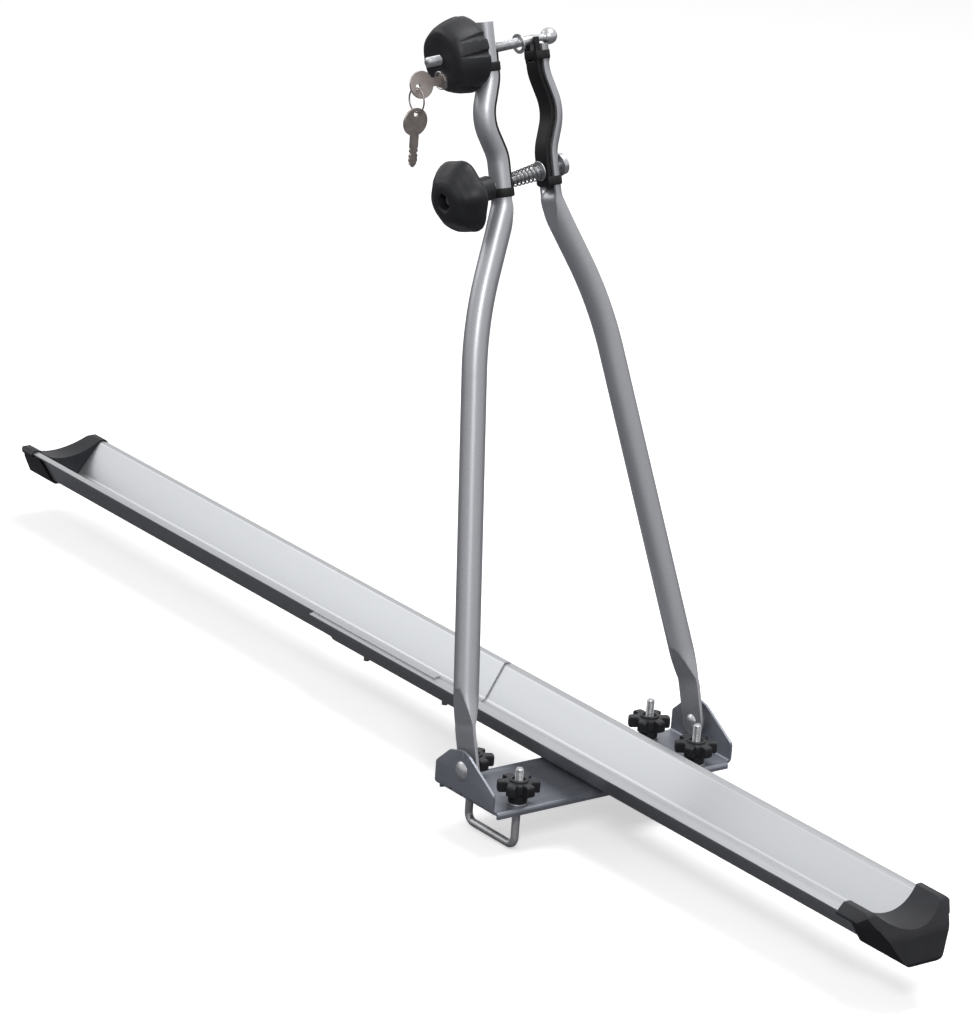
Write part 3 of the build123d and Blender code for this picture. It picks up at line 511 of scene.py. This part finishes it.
def arc_height(x, half, height):
    """How high an arc of a given half width and height stands at x."""
    radius = (half * half + height * height) / (2 * height)
    return math.sqrt(max(radius * radius - x * x, 0.0)) - (radius - height)


def arm_section(y, l, tilt, side, low_n=None):
    """One ring of the arm: a circle with the pressed flats cut into it."""
    blade = 1 - smooth_step(l, *blade_widening_l)
    flat = between(blade_half_t, flat_start, clamped_share(l, *blade_l))
    pinch = clamped_share(l, *pinch_l)
    dent = smooth_step(l, *dent_l)

    def point(angle):
        a = tube_r * math.cos(angle)
        b = tube_r * math.sin(angle)
        if blade > 0:
            a *= between(1.0, blade_half / tube_r, blade)
            b = min(max(b, -flat), flat)
        if pinch > 0:
            a *= between(1.0, jaw_half / tube_r, pinch)
            inner = between(-tube_r, 0.0, pinch)
            if b > 0:
                pressed = max(arc_height(a, jaw_half + 0.05, jaw_depth), 0.0)
                b = between(b, pressed, pinch)
            b = max(b, inner)
            hollow = jaw_half - jaw_wall
            if math.sin(angle) < 0 and abs(a) < hollow:
                b += dent * arc_height(a, hollow, jaw_depth - jaw_wall)
        if low_n is not None:
            a = max(a, low_n)
        return Vector((a, side * (y + b * math.cos(tilt)), l - b * math.sin(tilt)))

    return point


def blade_end_section(l, side):
    """A ring of the blade's round end below the pivot."""
    half = math.sqrt(max(blade_half * blade_half - l * l, 0.04))

    def point(angle):
        b = min(max(tube_r * math.sin(angle), -blade_half_t), blade_half_t)
        return Vector((half * math.cos(angle), side * (blade_y + b), l))

    return point


def arm_tube(name, side, top_l, body, replaced):
    """One clamp arm, from its round blade end to its cut top."""
    sections = [
        blade_end_section(-blade_half * math.cos(math.radians(angle)), side) for angle in range(2, 90, 8)
    ]
    sections += [arm_section(*station, side) for station in arm_stations(top_l)]
    finish_piece(skin(sections, 72), name, body, arm_paint, replaced, arm_place, 24.0)


def fork_prongs(name, body):
    """The far arm's two prongs, either side of the upper bolt's slot."""
    whole = bmesh.new()
    stations = [(seat_top_y, between(fork_l - 1, far_top_l, share / 4), 0.0) for share in range(5)]
    for flip in (1, -1):
        prong = skin([arm_section(*station, 1, fork_half) for station in stations], 72)
        bmesh.ops.scale(prong, vec=(flip, 1, 1), verts=prong.verts)
        mesh = bpy.data.meshes.new("prong")
        prong.to_mesh(mesh)
        prong.free()
        whole.from_mesh(mesh)
        bpy.data.meshes.remove(mesh)
    finish_piece(whole, name, body, arm_paint, (), arm_place, 24.0)


# Jaw pads and their bands
pad_half = 9.6
pad_t = 5.5
pad_near_l = (526.0, 664.0)
pad_far_l = (529.0, 671.0)
band_t = 1.6
band_h = 8.5
band_near_l = (526.0, 644.0)
band_far_l = (531.0, 649.5)
pad_corner = 0.42
pad_end_run = 0.9


def pad_section(y, l, tilt, side, shrink, a_low, a_high):
    """A flat bar's ring with round corners, next to the jaw's inner face."""
    middle, half = (a_low + a_high) / 2, (a_high - a_low) / 2 * shrink
    half_b = (pad_t / 2 - 0.1) * shrink

    def point(angle):
        a = math.copysign(abs(math.cos(angle)) ** pad_corner, math.cos(angle)) * half + middle
        b = math.copysign(abs(math.sin(angle)) ** pad_corner, math.sin(angle)) * half_b - pad_t / 2
        return Vector((a, side * (y + b * math.cos(tilt)), l - b * math.sin(tilt)))

    return point


def seat_stations(l0, l1):
    return [station for station in arm_stations(l1) if station[1] >= l0]


def pad_bar(stations, side, a_low=-pad_half, a_high=pad_half):
    """A pad's run with soft ends."""
    first, last = stations[0], stations[-1]
    rings = [pad_section(first[0], first[1] - pad_end_run, first[2], side, 0.8, a_low, a_high)]
    rings += [pad_section(first[0], first[1] - 0.6, first[2], side, 0.93, a_low, a_high)]
    rings += [pad_section(*station, side, 1.0, a_low, a_high) for station in stations[:-1]]
    rings += [pad_section(last[0], last[1] - 0.7, last[2], side, 1.0, a_low, a_high)]
    rings += [pad_section(last[0], last[1] - 0.3, last[2], side, 0.93, a_low, a_high)]
    rings += [pad_section(last[0], last[1], last[2], side, 0.8, a_low, a_high)]
    return skin(rings, 48)


def band_section(y, l, side, shrink):
    """The band's ring: a half circle outside and a keel down to the pad's face."""
    outer = jaw_half + band_t - shrink

    def point(angle):
        a, b = outer * math.cos(angle), outer * math.sin(angle)
        if b < 0:
            deep = pad_t - shrink
            narrow = pad_half - shrink
            b = max(b, -deep)
            limit = outer - (outer - narrow) * min(-b / deep, 1.0)
            a = max(min(a, limit), -limit)
        return Vector((a, side * (y + b), l))

    return point


def jaw_pad(place, side, body, span, bands):
    name = "pad_" + place
    stations = seat_stations(span[0] + pad_end_run, fork_l if side > 0 else span[1])
    finish_piece(pad_bar(stations, side), "jaw_pad_" + place, body, pad_rubber, (name,),
                 arm_place, 40.0)
    if side > 0:
        top = [(seat_top_y, between(fork_l - 1, span[1], share / 4), 0.0) for share in range(5)]
        for number, (low, high) in enumerate(((-pad_half, -fork_half), (fork_half, pad_half))):
            finish_piece(pad_bar(top, side, low, high), f"jaw_pad_tip_{number}", body,
                         pad_rubber, (), arm_place, 40.0)
    levels = (
        (0.0, 0.8), (0.35, 0.2), (0.9, 0.0), (band_h - 0.9, 0.0), (band_h - 0.35, 0.2), (band_h, 0.8),
    )
    for number, (low, y) in enumerate(zip(bands, (seat_low_y, seat_top_y))):
        rings = [band_section(y, low + rise, side, shrink) for rise, shrink in levels]
        finish_piece(skin(rings, 72), f"pad_band_{place}_{number}", body, pad_rubber, (),
                     arm_place, 40.0)


# Threads and turned pieces
def threaded_outline(r, z0, z1, pitch=1.25, depth=0.55):
    """The edge of a threaded rod from z0 up to z1, as (r, z) points."""
    count = max(1, round((z1 - z0) / pitch))
    step = (z1 - z0) / count
    points = []
    for index in range(count):
        z = z0 + index * step
        points += [(r - depth, z + 0.08 * step), (r, z + 0.42 * step)]
        points += [(r, z + 0.58 * step), (r - depth, z + 0.92 * step)]
    return points


bolt_r = 4.8
bolt_pitch = 1.5
bolt_groove = 0.65
ball_r = 8.0
ball_z = 45.4


def upper_clamp_bolt():
    """The long threaded bolt, its smooth neck and its ball."""
    outline = [(0, -99), (3.7, -99)] + threaded_outline(bolt_r, -98.6, 8.0, bolt_pitch, bolt_groove)
    outline += [(4.55, 8.4), (4.55, 27.0), (3.7, 30.0), (3.2, 34.0), (3.4, 37.0), (4.1, 38.4)]
    outline += [
        (ball_r * math.cos(math.radians(angle)), ball_z + ball_r * math.sin(math.radians(angle)))
        for angle in range(-58, 88, 7)
    ]
    outline.append((0, ball_z + ball_r))
    finish_piece(
        lathe(outline, 48), "upper_clamp_bolt", "clamp_bolt_upper", zinc, ("upper_bolt",),
        upper_place, 50.0,
    )


def lower_clamp_bolt():
    outline = [(0, -91.4), (4.1, -91.4), (4.7, -90.6), (4.7, -24)]
    outline += threaded_outline(bolt_r, -23.6, 44.2, bolt_pitch, bolt_groove) + [(3.9, 44.5), (0, 44.5)]
    finish_piece(
        lathe(outline, 48), "lower_clamp_bolt", "clamp_bolt_lower", zinc, ("lower_bolt",),
        lower_place, 50.0,
    )


# Locking knob
knob_profile = (
    (0.0, -83.9), (9.0, -83.9), (20.0, -83.6), (26.0, -82.6), (29.3, -80.6), (31.3, -77.6), (33.4, -72.0),
    (35.0, -66.0), (36.1, -60.0), (36.4, -56.0), (36.0, -52.0), (34.6, -49.4), (32.0, -48.1), (27.0, -48.0),
    (14.0, -48.0), (13.8, -42.9), (7.5, -42.8), (7.5, -40.8), (0.0, -40.8),
)
knob_groove_turns = [math.radians(turn + 90 * pair) for pair in range(4) for turn in (-27, 0)]
knob_lobes = 6
knob_lobe_depth = 0.9
knob_groove_depth = 2.6
knob_groove_start_z = -80.0
knob_groove_run = 27.0
knob_face_r = 16.0
lock_offset = (-3.0, 19.0)


def even_profile(points, step):
    """The same outline with more points on its long runs."""
    fine = [points[0]]
    for (r0, z0), (r1, z1) in zip(points, points[1:]):
        count = max(1, math.ceil(math.hypot(r1 - r0, z1 - z0) / step))
        fine += [(between(r0, r1, k / count), between(z0, z1, k / count)) for k in range(1, count + 1)]
    return fine


def locking_knob_body():
    """The big knob: six soft lobes and pairs of wedge-shaped finger grooves."""
    shape = lathe(even_profile(knob_profile, 2.0), 240)
    for vert in shape.verts:
        r = math.hypot(vert.co.x, vert.co.y)
        if r < knob_face_r:
            continue
        angle = math.atan2(vert.co.y, vert.co.x)
        side_share = smooth_step(r, knob_face_r, 31)
        lobe = knob_lobe_depth * side_share * (1 - math.cos(knob_lobes * angle - math.pi)) / 2
        off = min(abs(math.remainder(angle - turn, 2 * math.pi)) for turn in knob_groove_turns)
        run = clamped_share(vert.co.z, knob_groove_start_z, knob_groove_start_z + knob_groove_run)
        half = between(0.8, 3.9, run)
        cut = max(0.0, 1 - (r * off / half) ** 2)
        groove = knob_groove_depth * run ** 0.7 * cut * smooth_step(r, 27, 31)
        factor = (r - lobe - groove) / r
        vert.co.x *= factor
        vert.co.y *= factor
    finish_piece(
        shape, "locking_knob_body", "lock_knob", knob_plastic, ("locking_knob",),
        upper_place, 35.0,
    )


def lock_face():
    """The lock's ring and its slotted plug, seated in the knob's face."""
    lock_place = upper_place @ Matrix.Translation((lock_offset[0] * MM, lock_offset[1] * MM, 0))
    ring = [(6.7, -52), (6.7, -85.0), (7.2, -85.7), (8.2, -86.0), (8.8, -85.6), (9.0, -84.8), (9.0, -52)]
    finish_piece(lathe(ring + ring[:1], 64), "lock_ring", "lock_knob", lock_chrome,
                 ("lock_barrel",), lock_place, 40.0)
    plug = [(0, -84.9), (5.6, -84.9), (6.4, -84.5), (6.5, -83.8), (6.5, -55.3), (0, -55.3)]
    finish_piece(lathe(plug, 64), "lock_plug_face", "lock_plug", lock_chrome, ("lock_core",),
                 lock_place, 40.0)


# Lower knob
lower_profile = (
    (0.0, -89.5), (8.6, -89.5), (8.6, -97.1), (9.4, -98.1), (11.0, -98.4), (14.5, -98.2), (20.0, -96.3),
    (26.5, -91.7), (31.8, -85.5), (35.2, -79.9), (36.7, -75.3), (36.2, -72.7), (34.6, -70.7), (31.0, -69.6),
    (22.0, -69.5), (0.0, -69.5),
)
hex_half = 7.5
hex_cut_r = 8.6
hex_mouth_z = -84.0
lower_lobe_depth = 2.6


def lower_knob_body():
    """The plain clamp knob: a dome of six soft lobes with a hexagon socket."""
    shape = lathe(even_profile(lower_profile, 2.0), 192)
    for vert in shape.verts:
        r = math.hypot(vert.co.x, vert.co.y)
        angle = math.atan2(vert.co.y, vert.co.x)
        if r < hex_cut_r + 0.2 and vert.co.z < hex_mouth_z:
            step = math.pi / 3
            off = (angle + step / 2) % step - step / 2
            hexagon = hex_half / math.cos(off)
            vert.co.x *= hexagon / hex_cut_r
            vert.co.y *= hexagon / hex_cut_r
            continue
        lobe = lower_lobe_depth * smooth_step(r, 17, 30) * (1 - math.cos(knob_lobes * angle)) / 2
        factor = (r - lobe) / r if r > 1 else 1.0
        vert.co.x *= factor
        vert.co.y *= factor
    finish_piece(shape, "lower_knob_body", "low_knob", knob_plastic, ("lower_knob",),
                 lower_place, 35.0)


# U-bolts and star knobs
leg_x = 36.0
leg_y = 106.4
leg_r = 3.9
ubolt_low_z = -41.1
ubolt_bend = 9.0
ubolt_bend_steps = 8
stud_top_z = {"near": 38.0, "far": 43.0}
star_z = 15.0
star_top_z = 25.5
star_r = 20.4
star_foot_z = 4.7
star_hollow_r = 13.6
star_lobes = 6


def ubolt_stations():
    """Middle points of the bent rod below its threads, from one leg to the other, with their headings."""
    leg_levels = (1.0, -10.0, -20.0, ubolt_low_z + ubolt_bend)
    stations = [(Vector((-leg_x, 0, z)), 0.0) for z in leg_levels]
    for index in range(1, ubolt_bend_steps + 1):
        angle = math.pi / 2 * index / ubolt_bend_steps
        stations.append((
            Vector((
                -leg_x + ubolt_bend * (1 - math.cos(angle)), 0,
                ubolt_low_z + ubolt_bend * (1 - math.sin(angle)),
            )), angle,
        ))
    stations += [
        (Vector((-place.x, 0, place.z)), math.pi - angle) for place, angle in reversed(stations)
    ]
    return stations


def rod_section(place, angle, y):
    def point(turn):
        across = leg_r * math.cos(turn)
        return Vector((
            place.x + across * math.cos(angle), y + leg_r * math.sin(turn),
            place.z + across * math.sin(angle),
        ))
    return point


def ubolt(side, place):
    """A square-bottomed U-bolt with threaded legs."""
    top_z = stud_top_z[place]
    body = "u_bolt_" + place
    y = side * leg_y
    rod = skin([rod_section(spot, angle, y) for spot, angle in ubolt_stations()], 32)
    finish_piece(rod, "ubolt_bend_" + place, body, rod_zinc, ("ubolt_" + place,), None, 50.0)
    for end, x in (("rear", -leg_x), ("front", leg_x)):
        outline = [(0, 0.5), (leg_r - 0.4, 0.5)] + threaded_outline(leg_r, 0.8, top_z - 0.8)
        outline += [(leg_r - 1.0, top_z), (0, top_z)]
        finish_piece(
            lathe(outline, 40), f"stud_{place}_{end}", body, zinc, (),
            Matrix.Translation((x * MM, y * MM, 0)), 50.0,
        )


def star_radius(angle):
    """The star's edge: six rounded lobes with hollows between them."""
    wave = math.cos(star_lobes * angle)
    return between(star_hollow_r, star_r, smooth_step(wave, -0.55, 0.35))


def star_knob(side, place, end):
    x = -leg_x if end == "rear" else leg_x
    spot = Matrix.Translation((x * MM, side * leg_y * MM, 0))
    body = f"star_{place}_{end}"
    levels = (
        (-3.2, star_z), (-1.1, star_z + 0.1), (-0.3, star_z + 0.8), (0.0, star_z + 2.0),
        (0.0, star_top_z - 2.2), (-0.4, star_top_z - 0.8), (-1.3, star_top_z - 0.1), (-3.4, star_top_z),
    )

    def ring(inset, z):
        def point(angle):
            r = star_radius(angle) + inset
            return Vector((r * math.cos(angle), r * math.sin(angle), z))
        return point

    star = skin([ring(inset, z) for inset, z in levels], 144)
    finish_piece(star, f"star_lobes_{place}_{end}", body, knob_plastic,
                 (f"star_knob_{place}_{end}",), spot, 38.0)
    boss = [
        (6.0, star_foot_z), (8.4, star_foot_z), (9.2, star_foot_z + 0.8), (9.25, star_z + 0.5),
        (9.25, star_top_z), (9.0, star_top_z + 1.2), (8.4, star_top_z + 1.5), (6.9, star_top_z + 1.5),
        (6.5, star_top_z + 1.0),
        (6.5, star_top_z - 2.9), (4.1, star_top_z - 2.9), (4.1, star_foot_z),
    ]
    finish_piece(lathe(boss + boss[:1], 56), f"star_boss_{place}_{end}", body, knob_plastic,
                 (), spot, 38.0)


add_camera()
add_world()
add_floor()
add_area_light("key_light", (2.6, -2.0, 2.6), (-0.1, 0, 0.3), (1.0, 1.0), 60.0)
add_area_light("fill_light", (-2.6, -1.6, 1.8), (0, 0, 0.3), (1.5, 1.5), 18.0)
add_area_light("back_light", (0.15, 0.55, 3.1), (0, 0, 0.1), (2.0, 1.6), 72.0)
dress_nodes()

arm_tube("near_clamp_arm", -1, near_top_l, "near_arm", ("arm_near",))
arm_tube("far_clamp_arm", 1, fork_l, "far_arm", ("arm_far",))
fork_prongs("far_arm_fork", "far_arm")
upper_clamp_bolt()
lower_clamp_bolt()
locking_knob_body()
lock_face()
lower_knob_body()
jaw_pad("near", -1, "near_arm", pad_near_l, band_near_l)
jaw_pad("far", 1, "far_arm", pad_far_l, band_far_l)
for node, body, width in (
    ("key", "lock_plug", 0.3), ("spare_key", "second_key", 0.3), ("key_ring", "ring", 0),
):
    soften(node, node + "_metal", body, key_nickel, width)
for node, body, width in (
    ("far_nut", "clamp_bolt_lower", 0.8), ("far_washer", "clamp_bolt_lower", 0.3),
    ("spring_washer", "clamp_bolt_lower", 0.25), ("upper_washer", "clamp_bolt_upper", 0.25),
    ("pivot_rivet_near", "carrier", 0.5), ("pivot_rivet_far", "carrier", 0.5),
    ("joint_bolts", "carrier", 0.3), ("joint_nuts", "carrier", 0.4), ("joint_washers", "carrier", 0.2),
    ("rail_rivets", "carrier", 0.2), ("leg_washers_near", "u_bolt_near", 0.3),
    ("leg_washers_far", "u_bolt_far", 0.3), ("pivot_spacer_near", "carrier", 0.3),
    ("pivot_spacer_far", "carrier", 0.3),
):
    soften(node, node + "_steel", body, zinc, width)
soften("spring", "jaw_spring", "near_arm", spring_steel, 0)
soften("knob_collar", "knob_neck", "low_knob", knob_plastic, 1.0, 3)
soften("cap_front", "front_end_cap", "carrier", cap_plastic, 1.2, 3)
soften("cap_rear", "rear_end_cap", "carrier", cap_plastic, 1.2, 3)
soften("base_plate", "roof_bar_plate", "carrier", plate_paint, 0.4)
for side, place in ((-1, "near"), (1, "far")):
    ubolt(side, place)
    for end in ("rear", "front"):
        star_knob(side, place, end)

bpy.context.scene.view_settings.view_transform = "Standard"
